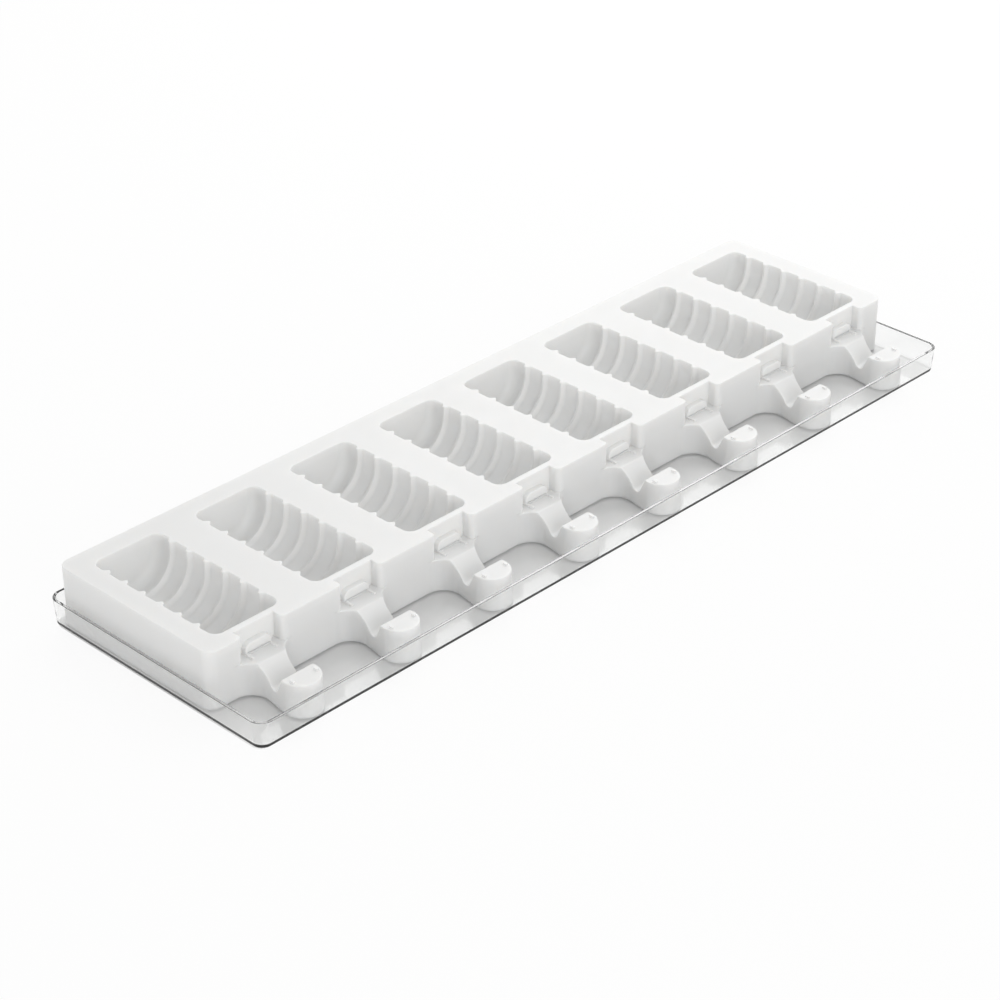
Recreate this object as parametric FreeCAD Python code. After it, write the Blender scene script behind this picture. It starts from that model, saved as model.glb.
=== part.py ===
import FreeCAD, Part
import math
import os

# Silicone ice pop mould standing in its clear tray.
# Millimetres. X runs along the row of cavities, the stick rests point to -Y, Z is up.
# The origin is the middle of the tray's underside.

V = FreeCAD.Vector

# Row of cavities
cavity_count = 8
pitch = 50.0
end_margin = 26.0

# Clear tray
tray_length = 408.4
tray_depth = 124.0
tray_height = 12.0
tray_wall = 1.3
tray_floor = 1.5
tray_corner = 5.5
tray_taper = 0.9
tray_foot_bevel = 0.8

# Mould block
mould_height = 25.5
mould_corner = 5.0
skirt_wall = 2.2
plate_thickness = 3.0
plate_back = 57.9
plate_depth = 89.0

# Fluted cavity, counted from the stick end
cavity_setback = 7.9
flute_pitch = 10.5
full_flutes = 6
last_flute = 8.8
ridge_half_width = 14.3
flute_depth = 1.9
straight_depth = 3.8
flank_run = 1.8
end_bevel = 3.0
bottom_flats = 12
cup_wall = 2.0

# Stick rest in front of each cavity
notch_half_width = 9.8
notch_depth = 4.9
notch_round = 2.0
rest_drop = 11.1
neck_half_width = 6.2
scoop_radius = 8.3
boss_radius = 8.0
boss_reach = 20.5
ramp_start = 4.6
boss_edge = 18.5
valley_reach = 13.1
valley_depth = 7.7
valley_round = 2.6

# Stick guides and slit
stick_width = 10.6
slit_height = 0.3
slit_rise = 0.7
lip_half_width = 6.4
lip_height = 4.8
lip_depth = 2.4
lip_round = 3.0
rail_width = 1.1
rail_height = 0.8
rail_end = 1.2
pip_length = 2.0
pip_reach = 22.4

# Places worked out from the sizes above
mould_floor = tray_floor
mould_top = mould_floor + mould_height
plate_half = (cavity_count - 1) * pitch / 2 + end_margin
plate_front = plate_back - plate_depth
rest_level = mould_top - rest_drop
cavity_front = plate_front + cavity_setback
cavity_back = cavity_front + full_flutes * flute_pitch + last_flute
flute_half_width = ridge_half_width + flute_depth
bend_level = mould_top - straight_depth
notch_back = plate_front + notch_depth
scoop_x = neck_half_width + scoop_radius
scoop_y = plate_front - scoop_radius
boss_y = plate_front - boss_reach
valley_y = plate_front - valley_reach
centres = [(i - (cavity_count - 1) / 2) * pitch for i in range(cavity_count)]


def line(a, b):
    return Part.LineSegment(a, b).toShape()


def arc(centre, radius, start, end, z=0.0):
    points = []
    for share in (0.0, 0.5, 1.0):
        angle = math.radians(start + (end - start) * share)
        points.append(V(centre[0] + radius * math.cos(angle), centre[1] + radius * math.sin(angle), z))
    return Part.Arc(*points).toShape()


def chain(edges):
    """Joins edges end to end with straight lines and closes the loop."""
    joined = []
    for edge, following in zip(edges, edges[1:] + edges[:1]):
        joined.append(edge)
        end = edge.lastVertex(True).Point
        start = following.firstVertex(True).Point
        if end.distanceToPoint(start) > 1e-6:
            joined.append(line(end, start))
    return Part.Wire(joined)


def rounded_rectangle(half_x, y_low, y_high, radius, z):
    corners = [
        ((half_x - radius, y_low + radius), 270),
        ((half_x - radius, y_high - radius), 0),
        ((radius - half_x, y_high - radius), 90),
        ((radius - half_x, y_low + radius), 180),
    ]
    return [arc(centre, radius, start, start + 90, z) for centre, start in corners]


def plate_outline(grow, z):
    return chain(
        rounded_rectangle(
            plate_half + grow, plate_front - grow, plate_back + grow, mould_corner + grow, z
        )
    )


def waist_angle():
    """Direction of the normal of the straight that joins a scoop to its boss."""
    across = scoop_x
    along = scoop_y - boss_y
    spread = math.acos((scoop_radius + boss_radius) / math.hypot(across, along))
    return math.degrees(math.atan2(along, across) - spread)


def tongue_edges(x, grow, z):
    waist = waist_angle()
    scoop = scoop_radius - grow
    boss = boss_radius + grow
    return [
        arc((x - scoop_x, scoop_y), scoop, 90, -waist, z),
        arc((x, boss_y), boss, 180 - waist, 360 + waist, z),
        arc((x + scoop_x, scoop_y), scoop, 180 + waist, 90, z),
    ]


def skirt_outline(grow, z):
    corners = rounded_rectangle(
        plate_half + grow, plate_front - grow, plate_back + grow, mould_corner + grow, z
    )
    edges = corners[3:]
    for x in centres:
        edges += tongue_edges(x, grow, z)
    return chain(edges + corners[:3])


def block(outline, low, high, inset=0.0):
    return Part.Face(outline(-inset, low)).extrude(V(0, 0, high - low))


def valley_points(skin=0.0):
    """Section of the finger valley, or of the wall under it when a skin is given."""
    centre_y = valley_y
    centre_z = rest_level - valley_depth + valley_round
    level = rest_level - skin
    radius = valley_round + skin
    rims = []
    for reach, side in ((ramp_start, 1), (boss_edge, -1)):
        dy = plate_front - reach - centre_y
        dz = rest_level - centre_z
        turn = math.acos(valley_round / math.hypot(dy, dz))
        angle = math.atan2(dz, dy) - side * turn
        normal = V(0, math.cos(angle), math.sin(angle))
        rim_y = centre_y + (radius - (level - centre_z) * normal.z) / normal.y
        touch = V(0, centre_y, centre_z) + normal * radius
        rims.append((V(0, rim_y, level), touch))
    bottom = V(0, centre_y, centre_z - radius)
    return rims[0][0], rims[0][1], bottom, rims[1][1], rims[1][0]


def valley_tool():
    ramp_rim, ramp_touch, bottom, boss_touch, boss_rim = valley_points()
    lift = V(0, 0, 1)
    edges = [
        line(ramp_rim + lift, ramp_rim),
        line(ramp_rim, ramp_touch),
        Part.Arc(ramp_touch, bottom, boss_touch).toShape(),
        line(boss_touch, boss_rim),
        line(boss_rim, boss_rim + lift),
        line(boss_rim + lift, ramp_rim + lift),
    ]
    half = boss_radius + 1
    face = Part.Face(Part.Wire(edges))
    face.translate(V(-half, 0, 0))
    return face.extrude(V(2 * half, 0, 0))


def rest_skin():
    """Material that stays above the hollow under one notch and its stick rest."""
    ramp_rim, ramp_touch, bottom, boss_touch, boss_rim = valley_points(skirt_wall)
    back = notch_back + skirt_wall
    level = rest_level - skirt_wall
    far = boss_y - boss_radius - 1
    half = notch_half_width + skirt_wall
    edges = [
        line(V(0, back, mould_top), V(0, back, level)),
        line(V(0, back, level), ramp_rim),
        line(ramp_rim, ramp_touch),
        Part.Arc(ramp_touch, bottom, boss_touch).toShape(),
        line(boss_touch, boss_rim),
        line(boss_rim, V(0, far, level)),
        line(V(0, far, level), V(0, far, mould_top)),
        line(V(0, far, mould_top), V(0, back, mould_top)),
    ]
    face = Part.Face(Part.Wire(edges))
    face.translate(V(-half, 0, 0))
    return face.extrude(V(2 * half, 0, 0))


def notch_tool():
    half = notch_half_width
    flare = half + notch_round
    corner_y = plate_front + notch_round
    outside = plate_front - 1
    height = mould_top - rest_level + 1
    edges = [
        arc((flare, corner_y), notch_round, 270, 180, rest_level),
        arc((-flare, corner_y), notch_round, 0, -90, rest_level),
        line(V(-flare, outside, rest_level), V(flare, outside, rest_level)),
    ]
    edges.insert(1, line(V(half, notch_back, rest_level), V(-half, notch_back, rest_level)))
    return Part.Face(chain(edges)).extrude(V(0, 0, height))


def stick_guides():
    """Lip round the slit, two rails on the rest and two pips on the boss."""
    lip_front = notch_back - lip_depth
    low = rest_level - 0.5
    high = rest_level + lip_height
    inner = lip_half_width - lip_round
    edges = [
        line(V(-lip_half_width, lip_front, low), V(lip_half_width, lip_front, low)),
        Part.Arc(
            V(lip_half_width, lip_front, high - lip_round),
            V(
                inner + lip_round * math.cos(math.pi / 4),
                lip_front,
                high - lip_round + lip_round * math.sin(math.pi / 4),
            ),
            V(inner, lip_front, high),
        ).toShape(),
        Part.Arc(
            V(-inner, lip_front, high),
            V(
                -inner - lip_round * math.cos(math.pi / 4),
                lip_front,
                high - lip_round + lip_round * math.sin(math.pi / 4),
            ),
            V(-lip_half_width, lip_front, high - lip_round),
        ).toShape(),
    ]
    lip = Part.Face(chain(edges)).extrude(V(0, lip_depth + 0.5, 0))
    rail_length = lip_front + 0.5 - (plate_front - rail_end)
    parts = [lip]
    for side in (-1, 1):
        x = side * (stick_width + rail_width) / 2
        rail = Part.makeBox(
            rail_width,
            rail_length,
            rail_height + 0.5,
            V(x - rail_width / 2, plate_front - rail_end, low),
        )
        pip = Part.makeBox(
            rail_width,
            pip_length,
            rail_height + 0.5,
            V(x - rail_width / 2, plate_front - pip_reach - pip_length / 2, low),
        )
        parts += [rail, pip]
    return parts


def slit_tool():
    length = cavity_front - (notch_back - lip_depth) + 2
    return Part.makeBox(
        stick_width,
        length,
        slit_height,
        V(-stick_width / 2, notch_back - lip_depth - 1, rest_level + slit_rise),
    )


def flute_stations():
    """Half-widths of a cavity along Y, from the stick end to the far end."""
    crest = flute_half_width
    stations = [(cavity_front, crest - end_bevel), (cavity_front + end_bevel, crest)]
    for i in range(full_flutes):
        ridge_y = cavity_front + flute_pitch * (i + 1)
        stations += [
            (ridge_y - flank_run, crest),
            (ridge_y, ridge_half_width),
            (ridge_y + flank_run, crest),
        ]
    return stations + [(cavity_back - end_bevel, crest), (cavity_back, crest - end_bevel)]


def cavity_section(y, half):
    """Straight sides above a half-round bottom made of narrow flats."""
    rim = mould_top + 1
    points = [V(half, y, rim)]
    for i in range(bottom_flats + 1):
        angle = math.pi * i / bottom_flats
        points.append(V(half * math.cos(angle), y, bend_level - half * math.sin(angle)))
    return points + [V(-half, y, rim), V(half, y, rim)]


def cavity_tool():
    sections = [cavity_section(y, half) for y, half in flute_stations()]
    loops = [sections[0], sections[-1]]
    for near, far in zip(sections, sections[1:]):
        for i in range(len(near) - 1):
            loops.append([near[i], near[i + 1], far[i + 1], far[i], near[i]])
    faces = [Part.Face(Part.makePolygon(loop)) for loop in loops]
    return Part.makeSolid(Part.makeShell(faces))


def cup():
    """Smooth outside of one cavity, seen from below."""
    radius = flute_half_width + cup_wall
    front = cavity_front - cup_wall
    length = cavity_back - cavity_front + 2 * cup_wall
    top = mould_top - plate_thickness / 2
    edges = [
        line(V(-radius, front, bend_level), V(-radius, front, top)),
        line(V(-radius, front, top), V(radius, front, top)),
        line(V(radius, front, top), V(radius, front, bend_level)),
        Part.Arc(
            V(radius, front, bend_level),
            V(0, front, bend_level - radius),
            V(-radius, front, bend_level),
        ).toShape(),
    ]
    return Part.Face(Part.Wire(edges)).extrude(V(0, length, 0))


def repeat(shape):
    copies = []
    for x in centres:
        copy = shape.copy()
        copy.translate(V(x, 0, 0))
        copies.append(copy)
    return copies


def silicone_mould():
    body = block(skirt_outline, mould_floor, rest_level)
    body = body.fuse(block(plate_outline, rest_level, mould_top)).removeSplitter()
    body = body.cut(repeat(notch_tool()) + repeat(valley_tool()))

    hollow = block(skirt_outline, mould_floor - 1, rest_level, skirt_wall)
    ceiling = mould_top - plate_thickness
    hollow = hollow.fuse(block(plate_outline, rest_level, ceiling, skirt_wall)).removeSplitter()
    hollow = hollow.cut(repeat(cup()) + repeat(rest_skin()))
    body = body.cut(hollow)

    guides = []
    for guide in stick_guides():
        guides += repeat(guide)
    body = body.fuse(guides).removeSplitter()
    return body.cut(repeat(cavity_tool()) + repeat(slit_tool()))


def tray_block(inset, low):
    """The tray's outside, or its inside when an inset is given."""
    def outline(z):
        narrow = tray_taper * (1 - z / tray_height) + inset
        return chain(
            rounded_rectangle(
                tray_length / 2 - narrow,
                narrow - tray_depth / 2,
                tray_depth / 2 - narrow,
                tray_corner - narrow,
                z,
            )
        )
    high = tray_height if inset == 0 else tray_height + 1
    return Part.makeLoft([outline(low), outline(high)], True, True)


def clear_tray():
    outside = tray_block(0.0, 0.0)
    foot = [edge for edge in outside.Edges if edge.BoundBox.ZMax < 1e-3]
    outside = outside.makeChamfer(tray_foot_bevel, foot)
    return outside.cut(tray_block(tray_wall, tray_floor))


os.makedirs("parts", exist_ok=True)
silicone_mould().exportStep("parts/silicone_mould.step")
clear_tray().exportStep("parts/clear_tray.step")
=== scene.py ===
import bpy
import bmesh
import math
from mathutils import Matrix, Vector


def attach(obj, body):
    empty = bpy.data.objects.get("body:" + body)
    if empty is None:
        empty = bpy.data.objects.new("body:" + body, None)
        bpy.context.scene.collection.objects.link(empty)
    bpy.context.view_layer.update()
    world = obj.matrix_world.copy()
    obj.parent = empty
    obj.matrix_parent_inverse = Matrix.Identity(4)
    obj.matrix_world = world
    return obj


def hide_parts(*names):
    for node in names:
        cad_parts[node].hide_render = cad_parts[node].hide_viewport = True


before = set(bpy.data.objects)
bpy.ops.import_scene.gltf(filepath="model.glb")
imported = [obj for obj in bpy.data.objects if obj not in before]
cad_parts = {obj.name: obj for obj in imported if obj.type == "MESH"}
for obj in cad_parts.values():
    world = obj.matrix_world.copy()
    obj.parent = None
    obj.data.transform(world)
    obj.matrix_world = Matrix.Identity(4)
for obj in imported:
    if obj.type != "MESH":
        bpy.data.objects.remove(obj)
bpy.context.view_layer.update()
print("frame loaded")


# small helpers shared by the pieces

weldDistance = 0.00001          # metres
noiseSpan = (0.3, 0.7)          # where nearly all of a noise's values lie


def newMaterial(name):
    material = bpy.data.materials.new(name)
    material.use_nodes = True
    shader = material.node_tree.nodes["Principled BSDF"]
    return material, material.node_tree, shader


def addNode(tree, kind, place, **values):
    node = tree.nodes.new(kind)
    node.location = place
    for name, value in values.items():
        setattr(node, name, value)
    return node


def setInput(node, name, value):
    node.inputs[name].default_value = value


def grain(tree, coords, place, scale, detail):
    noise = addNode(tree, "ShaderNodeTexNoise", place)
    setInput(noise, "Scale", scale)
    setInput(noise, "Detail", detail)
    tree.links.new(coords.outputs["Object"], noise.inputs["Vector"])
    return noise.outputs["Fac"]


def remap(tree, source, place, low, high):
    span = addNode(tree, "ShaderNodeMapRange", place)
    setInput(span, "From Min", noiseSpan[0])
    setInput(span, "From Max", noiseSpan[1])
    setInput(span, "To Min", low)
    setInput(span, "To Max", high)
    tree.links.new(source, span.inputs["Value"])
    return span.outputs["Result"]


def mathNode(tree, place, operation, first, second):
    # either input is a socket or a number
    node = addNode(tree, "ShaderNodeMath", place, operation=operation)
    for socket, value in zip(node.inputs, (first, second)):
        if isinstance(value, (int, float)):
            socket.default_value = value
        else:
            tree.links.new(value, socket)
    return node.outputs[0]


def mixShader(tree, place, share, first, second):
    blend = addNode(tree, "ShaderNodeMixShader", place)
    tree.links.new(share, blend.inputs["Fac"])
    tree.links.new(first, blend.inputs[1])
    tree.links.new(second, blend.inputs[2])
    return blend.outputs[0]


def addToScene(name, data):
    ob = bpy.data.objects.new(name, data)
    bpy.context.scene.collection.objects.link(ob)
    return ob


def mergedCopy(nodeName, pieceName):
    # the solid's triangles joined to one closed skin
    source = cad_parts[nodeName]
    mesh = source.data.copy()
    mesh.name = pieceName
    mesh.transform(source.matrix_world)
    mesh.materials.clear()
    shell = bmesh.new()
    shell.from_mesh(mesh)
    bmesh.ops.remove_doubles(shell, verts=shell.verts, dist=weldDistance)
    shell.to_mesh(mesh)
    shell.free()
    return addToScene(pieceName, mesh)


def softenEdges(piece, softness, angle=None):
    # by the marked weights, or by angle where one is given
    bevel = piece.modifiers.new("softEdges", "BEVEL")
    bevel.width = softness["width"]
    bevel.segments = softness["segments"]
    bevel.limit_method = "WEIGHT" if angle is None else "ANGLE"
    if angle is not None:
        bevel.angle_limit = math.radians(angle)
    bevel.use_clamp_overlap = False
    bevel.loop_slide = False
    for face in piece.data.polygons:
        face.use_smooth = True
    weights = piece.modifiers.new("flatFaces", "WEIGHTED_NORMAL")
    weights.weight = softness["flatWeight"]
    weights.keep_sharp = True


# white silicone mould

siliconeLook = {
    "colour": (0.875, 0.875, 0.868, 1.0),
    "warmPatch": (0.858, 0.856, 0.848, 1.0),
    "patchScale": 22.0,
    "patchDetail": 3.0,
    "roughness": (0.32, 0.42),
    "hazeScale": 160.0,
    "hazeDetail": 4.0,
    "index": 1.41,
    "glow": 0.6,
    "glowReach": 0.003,
    "glowTint": (1.0, 0.95, 0.9),
    "grainScale": 900.0,
    "grainDetail": 2.0,
    "grainDepth": 0.00004,
    "grainStrength": 0.35,
    "edges": {"width": 0.0004, "segments": 3, "flatWeight": 80},
}


def makeSilicone(look):
    material, tree, shader = newMaterial("whiteSilicone")
    coords = addNode(tree, "ShaderNodeTexCoord", (-1100, 0))
    patch = grain(tree, coords, (-900, 200), look["patchScale"], look["patchDetail"])
    tint = addNode(tree, "ShaderNodeMix", (-500, 250), data_type="RGBA")
    tree.links.new(remap(tree, patch, (-700, 250), 0.0, 1.0), tint.inputs["Factor"])
    tint.inputs[6].default_value = look["colour"]
    tint.inputs[7].default_value = look["warmPatch"]
    tree.links.new(tint.outputs[2], shader.inputs["Base Color"])
    haze = grain(tree, coords, (-900, -50), look["hazeScale"], look["hazeDetail"])
    tree.links.new(remap(tree, haze, (-700, -50), *look["roughness"]), shader.inputs["Roughness"])
    fine = grain(tree, coords, (-900, -300), look["grainScale"], look["grainDetail"])
    bump = addNode(tree, "ShaderNodeBump", (-500, -300))
    setInput(bump, "Strength", look["grainStrength"])
    setInput(bump, "Distance", look["grainDepth"])
    tree.links.new(fine, bump.inputs["Height"])
    tree.links.new(bump.outputs["Normal"], shader.inputs["Normal"])
    setInput(shader, "IOR", look["index"])
    setInput(shader, "Subsurface Weight", look["glow"])
    setInput(shader, "Subsurface Radius", look["glowTint"])
    setInput(shader, "Subsurface Scale", look["glowReach"])
    return material


cavityShape = {                 # millimetres, as in the solid
    "count": 8,
    "pitch": 50.0,
    "front": -23.2,
    "back": 48.6,
    "firstRidge": -12.7,
    "ridges": 6,
    "ridgePitch": 10.5,
    "crest": 16.25,
    "fluteDepth": 1.9,
    "flankRun": 2.3,            # from a ridge's crest to the flat of the lobe
    "ridgeRound": 0.7,
    "lobeRound": 0.9,
    "endRound": 4.2,
    "endSteps": 8,
    "top": 27.0,
    "bend": 23.2,
    "arcSteps": 40,
    "lobeStep": 1.3,
    "leastStep": 0.05,
    "slitSetback": 0.3,         # the slit ends this far in front of the cavity wall
}


def ridgeHeight(distance, shape):
    # how far a ridge stands in at this distance from its crest: round tip, straight flank, round foot
    run, tip, foot = shape["flankRun"], shape["ridgeRound"], shape["lobeRound"]
    slope = shape["fluteDepth"] / (run - tip / 2 - foot / 2)
    if distance < tip:
        return shape["fluteDepth"] - slope * distance ** 2 / (2 * tip)
    if distance < run - foot:
        return shape["fluteDepth"] - slope * (distance - tip / 2)
    if distance < run:
        return slope * (run - distance) ** 2 / (2 * foot)
    return 0.0


def cavityHalfWidth(y, shape):
    # half-width of a cavity at y: lobes between ridges, and rounded ends
    crests = [shape["firstRidge"] + i * shape["ridgePitch"] for i in range(shape["ridges"])]
    sunk = ridgeHeight(min(abs(y - crest) for crest in crests), shape)
    edge = min(y - shape["front"], shape["back"] - y)
    corner = shape["endRound"]
    if edge < corner:
        sunk += corner - math.sqrt(max(0.0, corner ** 2 - (corner - edge) ** 2))
    return shape["crest"] - sunk


def cavityRows(shape):
    # close rows where the outline bends, wide ones on the flats
    run, tip, foot = shape["flankRun"], shape["ridgeRound"], shape["lobeRound"]
    offsets = [0.0, tip / 2, tip, (run - foot + tip) / 2, run - foot, run - foot / 2, run]
    flat = run + shape["lobeStep"]
    while flat < shape["ridgePitch"] / 2 + 0.01:
        offsets.append(flat)
        flat += shape["lobeStep"]
    rows = set()
    for i in range(shape["ridges"]):
        crest = shape["firstRidge"] + i * shape["ridgePitch"]
        for offset in offsets:
            rows.update((round(crest - offset, 4), round(crest + offset, 4)))
    for i in range(shape["endSteps"] + 1):
        turn = shape["endRound"] * (1 - math.cos(math.pi / 2 * i / shape["endSteps"]))
        rows.update((round(shape["front"] + turn, 4), round(shape["back"] - turn, 4)))
    ordered = []
    for y in sorted(rows):
        if not ordered or y - ordered[-1] > shape["leastStep"]:
            ordered.append(y)
    return ordered


def oneCavity(shape):
    # a skin with its open rim in the plane of the plate's top
    skin = bmesh.new()
    rings = []
    for y in cavityRows(shape):
        half = cavityHalfWidth(y, shape)
        points = [(half, shape["top"])]
        for i in range(shape["arcSteps"] + 1):
            turn = math.pi * i / shape["arcSteps"]
            points.append((half * math.cos(turn), shape["bend"] - half * math.sin(turn)))
        points.append((-half, shape["top"]))
        rings.append([skin.verts.new((x / 1000, y / 1000, z / 1000)) for x, z in points])
    for near, far in zip(rings, rings[1:]):
        for i in range(len(near) - 1):
            skin.faces.new((near[i], near[i + 1], far[i + 1], far[i]))
    skin.faces.new(rings[0])
    skin.faces.new(rings[-1][::-1])
    mesh = bpy.data.meshes.new("oneCavity")
    skin.to_mesh(mesh)
    skin.free()
    return addToScene("oneCavity", mesh)


def rowTree():
    # repeats what it is given along X, centred, as Count copies one Pitch apart
    tree = bpy.data.node_groups.new("rowAlongX", "GeometryNodeTree")
    sockets = tree.interface
    sockets.new_socket("Geometry", in_out="INPUT", socket_type="NodeSocketGeometry")
    names = {}
    kinds = {"Count": "NodeSocketInt", "Pitch": "NodeSocketFloat", "Finish": "NodeSocketMaterial"}
    for name, kind in kinds.items():
        names[name] = sockets.new_socket(name, in_out="INPUT", socket_type=kind).identifier
    sockets.new_socket("Geometry", in_out="OUTPUT", socket_type="NodeSocketGeometry")
    start = addNode(tree, "NodeGroupInput", (-900, 0))
    gaps = mathNode(tree, (-700, 250), "SUBTRACT", start.outputs["Count"], 1.0)
    length = mathNode(tree, (-540, 250), "MULTIPLY", gaps, start.outputs["Pitch"])
    shift = mathNode(tree, (-380, 250), "MULTIPLY", length, -0.5)
    first = addNode(tree, "ShaderNodeCombineXYZ", (-220, 250))
    tree.links.new(shift, first.inputs["X"])
    step = addNode(tree, "ShaderNodeCombineXYZ", (-220, 100))
    tree.links.new(start.outputs["Pitch"], step.inputs["X"])
    spots = addNode(tree, "GeometryNodeMeshLine", (-40, 200), mode="OFFSET")
    tree.links.new(start.outputs["Count"], spots.inputs["Count"])
    tree.links.new(first.outputs[0], spots.inputs["Start Location"])
    tree.links.new(step.outputs[0], spots.inputs["Offset"])
    copies = addNode(tree, "GeometryNodeInstanceOnPoints", (150, 0))
    tree.links.new(spots.outputs["Mesh"], copies.inputs["Points"])
    tree.links.new(start.outputs["Geometry"], copies.inputs["Instance"])
    solid = addNode(tree, "GeometryNodeRealizeInstances", (330, 0))
    tree.links.new(copies.outputs["Instances"], solid.inputs["Geometry"])
    finish = addNode(tree, "GeometryNodeSetMaterial", (510, 0))
    tree.links.new(solid.outputs["Geometry"], finish.inputs["Geometry"])
    tree.links.new(start.outputs["Finish"], finish.inputs["Material"])
    end = addNode(tree, "NodeGroupOutput", (690, 0))
    tree.links.new(finish.outputs["Geometry"], end.inputs["Geometry"])
    return tree, names


def cavityRow(shape, finish):
    # the node tree's row as a plain mesh
    cavity = oneCavity(shape)
    tree, names = rowTree()
    row = cavity.modifiers.new("cavityRow", "NODES")
    row.node_group = tree
    row[names["Count"]] = shape["count"]
    row[names["Pitch"]] = shape["pitch"] / 1000
    row[names["Finish"]] = finish
    graph = bpy.context.evaluated_depsgraph_get()
    mesh = bpy.data.meshes.new_from_object(cavity.evaluated_get(graph))
    cavity.modifiers.remove(row)
    bpy.data.objects.remove(cavity)
    return mesh


def nearestMiddle(x, shape):
    # the middle of the cavity that x is nearest to, millimetres
    return (round(x / shape["pitch"] - 0.5) + 0.5) * shape["pitch"]


def openLoops(shell):
    # each open border as its vertices in order
    rims = {edge for edge in shell.edges if edge.is_boundary}
    loops = []
    for edge in shell.edges:
        if edge not in rims:
            continue
        rims.remove(edge)
        loop = list(edge.verts)
        while True:
            step = next((e for e in loop[-1].link_edges if e in rims), None)
            if step is None:
                break
            rims.remove(step)
            loop.append(step.other_vert(loop[-1]))
        loops.append(loop[:-1])
    return loops


cavityCut = {                   # what the old hollows are found by, millimetres
    "aside": 0.25,              # beyond a lobe's wall
    "endwise": 0.05,            # beyond a cavity's ends
    "topSkin": 0.01,            # below the plate's top
    "slitBelow": 1.0,           # a slit's border lies more than this below the top
}


def renewCavities(piece, shape, cut, row):
    # the straight-flanked hollows and the pierced top come out, the lobed hollows and a new top go in
    shell = bmesh.new()
    shell.from_mesh(piece.data)
    gone = []
    for face in shell.faces:
        points = [v.co * 1000 for v in face.verts]
        middle = nearestMiddle(sum(p.x for p in points) / len(points), shape)
        inside = all(
            shape["front"] - cut["endwise"] < p.y < shape["back"] + cut["endwise"]
            and math.hypot(p.x - middle, min(0.0, p.z - shape["bend"])) < shape["crest"] + cut["aside"]
            for p in points)
        if inside or min(p.z for p in points) > shape["top"] - cut["topSkin"]:
            gone.append(face)
    bmesh.ops.delete(shell, geom=gone, context="FACES")
    for loop in openLoops(shell):
        if loop[0].co.z < (shape["top"] - cut["slitBelow"]) / 1000:
            shell.faces.new(loop)
            for corner in loop:
                corner.co.y = (shape["front"] - shape["slitSetback"]) / 1000
    shell.from_mesh(row)
    rims = [edge for edge in shell.edges if edge.is_boundary]
    bmesh.ops.triangle_fill(
        shell, use_beauty=True, use_dissolve=False, edges=rims, normal=(0.0, 0.0, 1.0))
    bmesh.ops.recalc_face_normals(shell, faces=shell.faces)
    for face in shell.faces:
        face.material_index = 0
    print("cavities renewed, open edges:", sum(1 for edge in shell.edges if not edge.is_manifold))
    shell.to_mesh(piece.data)
    shell.free()


edgeChoice = {                  # which edges of the mould are softened
    "sharpest": 30.0,           # degrees between the faces
    "crisp": {                  # stays as it is: from a cavity's middle in X, then Y and Z, millimetres
        "slitAndRails": ((-6.6, 6.6), (-32.6, -22.0), (15.6, 17.2)),
        "pips": ((-7.0, 7.0), (-55.0, -52.0), (15.6, 17.0)),
    },
}


def staysCrisp(vertex, shape, boxes):
    place = vertex.co * 1000
    place.x -= nearestMiddle(place.x, shape)
    return any(
        all(low < value < high for value, (low, high) in zip(place, box))
        for box in boxes.values())


def markEdges(piece, shape, choice):
    # weight 1 on the outer edges, which the bevel rounds, and inner corners and stick guides stay crisp
    shell = bmesh.new()
    shell.from_mesh(piece.data)
    layers = shell.edges.layers.float
    weight = layers.get("bevel_weight_edge") or layers.new("bevel_weight_edge")
    marked = 0
    for edge in shell.edges:
        folded = edge.is_manifold and edge.calc_face_angle(0.0) > math.radians(choice["sharpest"])
        crisp = folded and any(staysCrisp(vertex, shape, choice["crisp"]) for vertex in edge.verts)
        if folded and edge.is_convex and not crisp:
            edge[weight] = 1.0
            marked += 1
        elif folded:
            edge.smooth = False
    print("edges softened:", marked)
    shell.to_mesh(piece.data)
    shell.free()


whiteSilicone = makeSilicone(siliconeLook)
mould = mergedCopy("silicone_mould", "siliconeMould")
mould.data.materials.append(whiteSilicone)
renewCavities(mould, cavityShape, cavityCut, cavityRow(cavityShape, whiteSilicone))
markEdges(mould, cavityShape, edgeChoice)
softenEdges(mould, siliconeLook["edges"])
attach(mould, "root")
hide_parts("silicone_mould")
print("silicone mould dressed")


# clear tray

trayLook = {
    "colour": (0.985, 0.987, 0.985, 1.0),
    "roughness": (0.05, 0.08),
    "hazeScale": 60.0,
    "hazeDetail": 3.0,
    "index": 1.49,
    "smoke": (0.35, 0.355, 0.355, 1.0),
    "smokeDensity": 9.0,
    "shadeThrough": (0.985, 0.985, 0.985, 1.0),     # what a lamp's light keeps at each surface
    "rims": {"width": 0.00018, "segments": 3, "flatWeight": 80},
    "rimAngle": 22,             # degrees
}


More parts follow.
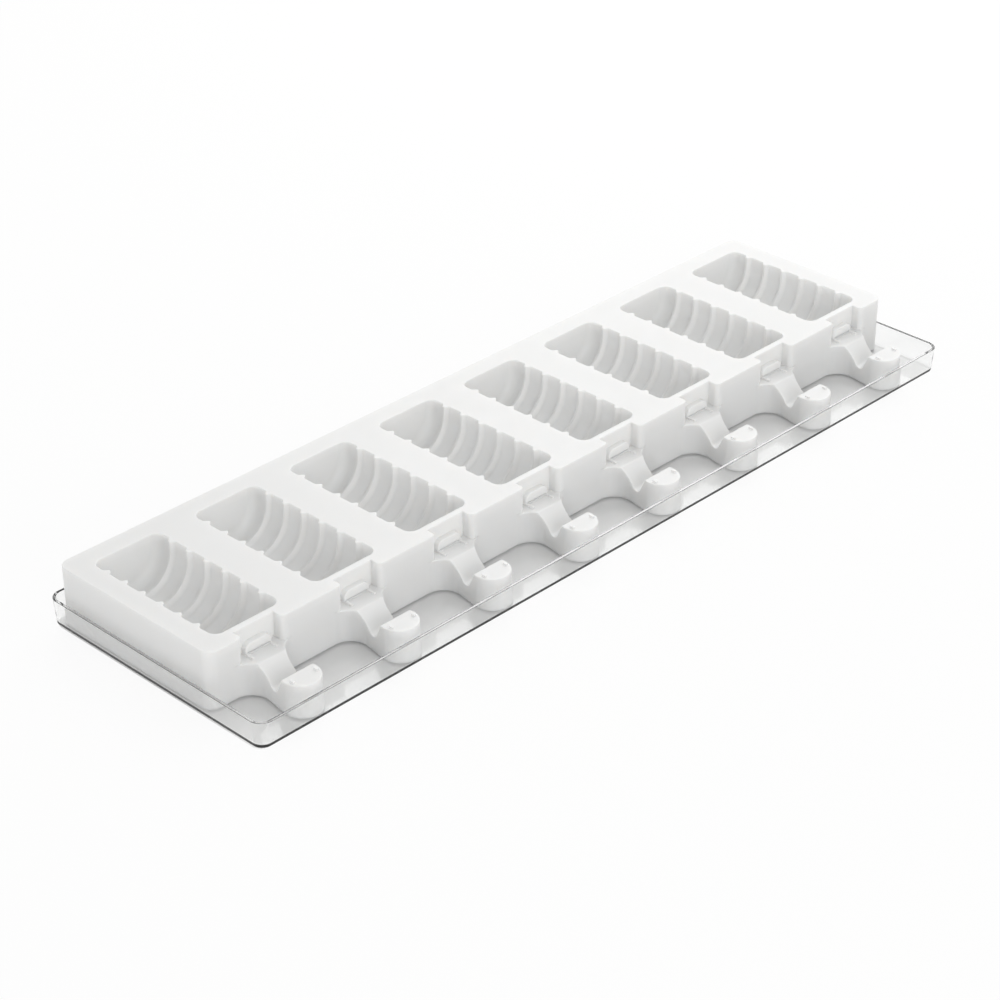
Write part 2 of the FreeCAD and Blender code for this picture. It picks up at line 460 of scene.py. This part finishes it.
def makeClearPlastic(look):
    material, tree, shader = newMaterial("clearPlastic")
    coords = addNode(tree, "ShaderNodeTexCoord", (-900, 0))
    haze = grain(tree, coords, (-700, 0), look["hazeScale"], look["hazeDetail"])
    tree.links.new(remap(tree, haze, (-450, 0), *look["roughness"]), shader.inputs["Roughness"])
    setInput(shader, "Base Color", look["colour"])
    setInput(shader, "IOR", look["index"])
    setInput(shader, "Transmission Weight", 1.0)
    smoke = addNode(tree, "ShaderNodeVolumeAbsorption", (0, -500))
    setInput(smoke, "Color", look["smoke"])
    setInput(smoke, "Density", look["smokeDensity"])
    through = addNode(tree, "ShaderNodeBsdfTransparent", (250, -250))
    setInput(through, "Color", look["shadeThrough"])
    path = addNode(tree, "ShaderNodeLightPath", (250, 350))
    blend = mixShader(
        tree, (500, 0), path.outputs["Is Shadow Ray"], shader.outputs[0], through.outputs[0])
    output = tree.nodes["Material Output"]
    output.location = (700, 0)
    tree.links.new(blend, output.inputs["Surface"])
    tree.links.new(smoke.outputs["Volume"], output.inputs["Volume"])
    return material


tray = mergedCopy("clear_tray", "clearTray")
softenEdges(tray, trayLook["rims"], trayLook["rimAngle"])
tray.data.materials.append(makeClearPlastic(trayLook))
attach(tray, "root")
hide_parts("clear_tray")
print("clear tray dressed")


# studio

studio = {
    "floorHalf": 6.0,
    "floorLevel": -0.0002,
    "floorRoughness": 0.9,
    "floorColour": (0.96, 0.96, 0.955, 1.0),
    "floorWhite": 0.9,          # share of plain white that the camera sees
    # painted shade: the paper inside the tray's footprint gets a darker colour, so the floor seen through
    # the tray reads as shaded
    "underTrayPaintedShade": (0.88, 0.88, 0.875, 1.0),
    "underTrayWhite": 0.16,     # less where the tray stands, so that its inside keeps its shade
    # the footprint reaches just past the tray's foot, so a thin painted contact shadow shows around it
    "underTray": (0.2031, 0.0601),
    "underTrayCorner": 0.0045,
    "worldColour": (1.0, 1.0, 0.995, 1.0),
    "worldStrength": 0.64,
    "lampTarget": (0, 0, 0.01),
    "lamps": {                  # place, width, height and watts
        "windowLamp": ((0.62, 0.35, 0.7), 0.8, 0.8, 3.6),
        "frontLamp": ((-0.35, -1.25, 0.45), 0.8, 0.6, 4.3),
        "sideLamp": ((-1.3, 0.35, 0.3), 0.6, 0.5, 1.4),
    },
    "cameraPlace": (-0.7060, -0.6688, 0.5776),
    "cameraAzimuth": -45.852,
    "cameraElevation": 31.01,
    "cameraLens": 96.74,
    "cameraSensor": 36.0,
    "cameraNearest": 0.05,
}


def seenDirectly(tree, place):
    # 1 where the camera sees a surface itself or in gloss or clear plastic,
    # 0 for light that paper or silicone has sent on
    path = addNode(tree, "ShaderNodeLightPath", place)
    seen = path.outputs["Is Camera Ray"]
    for i, name in enumerate(("Is Glossy Ray", "Is Transmission Ray")):
        seen = mathNode(tree, (place[0] + 200 * (i + 1), place[1]), "MAXIMUM", seen, path.outputs[name])
    early = mathNode(
        tree, (place[0] + 400, place[1] - 200), "LESS_THAN", path.outputs["Diffuse Depth"], 0.5)
    return mathNode(tree, (place[0] + 600, place[1]), "MULTIPLY", seen, early)


def inFootprint(tree, place, halfSizes, corner):
    # 1 on the floor inside a rounded rectangle, 0 outside
    coords = addNode(tree, "ShaderNodeTexCoord", place)
    source = coords.outputs["Object"]
    core = (halfSizes[0] - corner, halfSizes[1] - corner, 1.0)
    steps = (("ABSOLUTE", None), ("SUBTRACT", core), ("MAXIMUM", (0.0, 0.0, 0.0)), ("LENGTH", None))
    for i, (kind, other) in enumerate(steps):
        step = addNode(tree, "ShaderNodeVectorMath", (place[0] + 180 * (i + 1), place[1]), operation=kind)
        tree.links.new(source, step.inputs[0])
        if other:
            step.inputs[1].default_value = other
        source = step.outputs["Value" if kind == "LENGTH" else "Vector"]
    return mathNode(tree, (place[0] + 900, place[1]), "LESS_THAN", source, corner)


def makePaper(settings):
    material, tree, shader = newMaterial("studioPaper")
    setInput(shader, "Roughness", settings["floorRoughness"])
    footprint = inFootprint(tree, (-1200, 700), settings["underTray"], settings["underTrayCorner"])
    # painted shade: a darker paper colour inside the tray's footprint, the plain floor colour outside
    paintedShadeTone = addNode(tree, "ShaderNodeMix", (-250, 0), data_type="RGBA")
    tree.links.new(footprint, paintedShadeTone.inputs["Factor"])
    paintedShadeTone.inputs[6].default_value = settings["floorColour"]
    paintedShadeTone.inputs[7].default_value = settings["underTrayPaintedShade"]
    tree.links.new(paintedShadeTone.outputs[2], shader.inputs["Base Color"])
    white = addNode(tree, "ShaderNodeMapRange", (-100, 500))
    tree.links.new(footprint, white.inputs["Value"])
    setInput(white, "To Min", settings["floorWhite"])
    setInput(white, "To Max", settings["underTrayWhite"])
    seen = seenDirectly(tree, (-600, 300))
    share = mathNode(tree, (100, 200), "MULTIPLY", seen, white.outputs["Result"])
    glow = addNode(tree, "ShaderNodeEmission", (0, -300))
    setInput(glow, "Strength", 1.0)
    blend = mixShader(tree, (300, 0), share, shader.outputs[0], glow.outputs[0])
    tree.links.new(blend, tree.nodes["Material Output"].inputs["Surface"])
    return material


def makeFloor(settings):
    half, level = settings["floorHalf"], settings["floorLevel"]
    mesh = bpy.data.meshes.new("studioFloor")
    corners = [(x * half, y * half, level) for x, y in ((-1, -1), (1, -1), (1, 1), (-1, 1))]
    mesh.from_pydata(corners, [], [(0, 1, 2, 3)])
    mesh.materials.append(makePaper(settings))
    addToScene("studioFloor", mesh)


def makeWorld(settings):
    world = bpy.data.worlds.new("studioAir")
    world.use_nodes = True
    bpy.context.scene.world = world
    tree = world.node_tree
    soft = tree.nodes["Background"]
    setInput(soft, "Color", settings["worldColour"])
    setInput(soft, "Strength", settings["worldStrength"])
    white = addNode(tree, "ShaderNodeBackground", (0, -200))
    setInput(white, "Color", (1, 1, 1, 1))
    setInput(white, "Strength", 1.0)
    seen = seenDirectly(tree, (-400, 300))
    blend = mixShader(tree, (300, 0), seen, soft.outputs[0], white.outputs[0])
    tree.links.new(blend, tree.nodes["World Output"].inputs["Surface"])


def addLamp(name, place, width, height, watts, target):
    lamp = bpy.data.lights.new(name, "AREA")
    lamp.shape = "RECTANGLE"
    lamp.size = width
    lamp.size_y = height
    lamp.energy = watts
    ob = addToScene(name, lamp)
    ob.visible_transmission = False     # its light already passes the tray on the way from the lamp
    ob.location = place
    direction = Vector(target) - Vector(place)
    ob.rotation_euler = direction.to_track_quat("-Z", "Y").to_euler()


def addCamera(settings):
    camera = bpy.data.cameras.new("photoCamera")
    camera.sensor_width = settings["cameraSensor"]
    camera.lens = settings["cameraLens"]
    camera.clip_start = settings["cameraNearest"]
    ob = addToScene("photoCamera", camera)
    ob.location = settings["cameraPlace"]
    azimuth = math.radians(settings["cameraAzimuth"])
    elevation = math.radians(settings["cameraElevation"])
    ob.rotation_euler = (math.pi / 2 - elevation, 0.0, azimuth)
    bpy.context.scene.camera = ob


makeFloor(studio)
makeWorld(studio)
for name, (place, width, height, watts) in studio["lamps"].items():
    addLamp(name, place, width, height, watts, studio["lampTarget"])
addCamera(studio)
bpy.context.scene.view_settings.view_transform = "Standard"
print("studio ready")
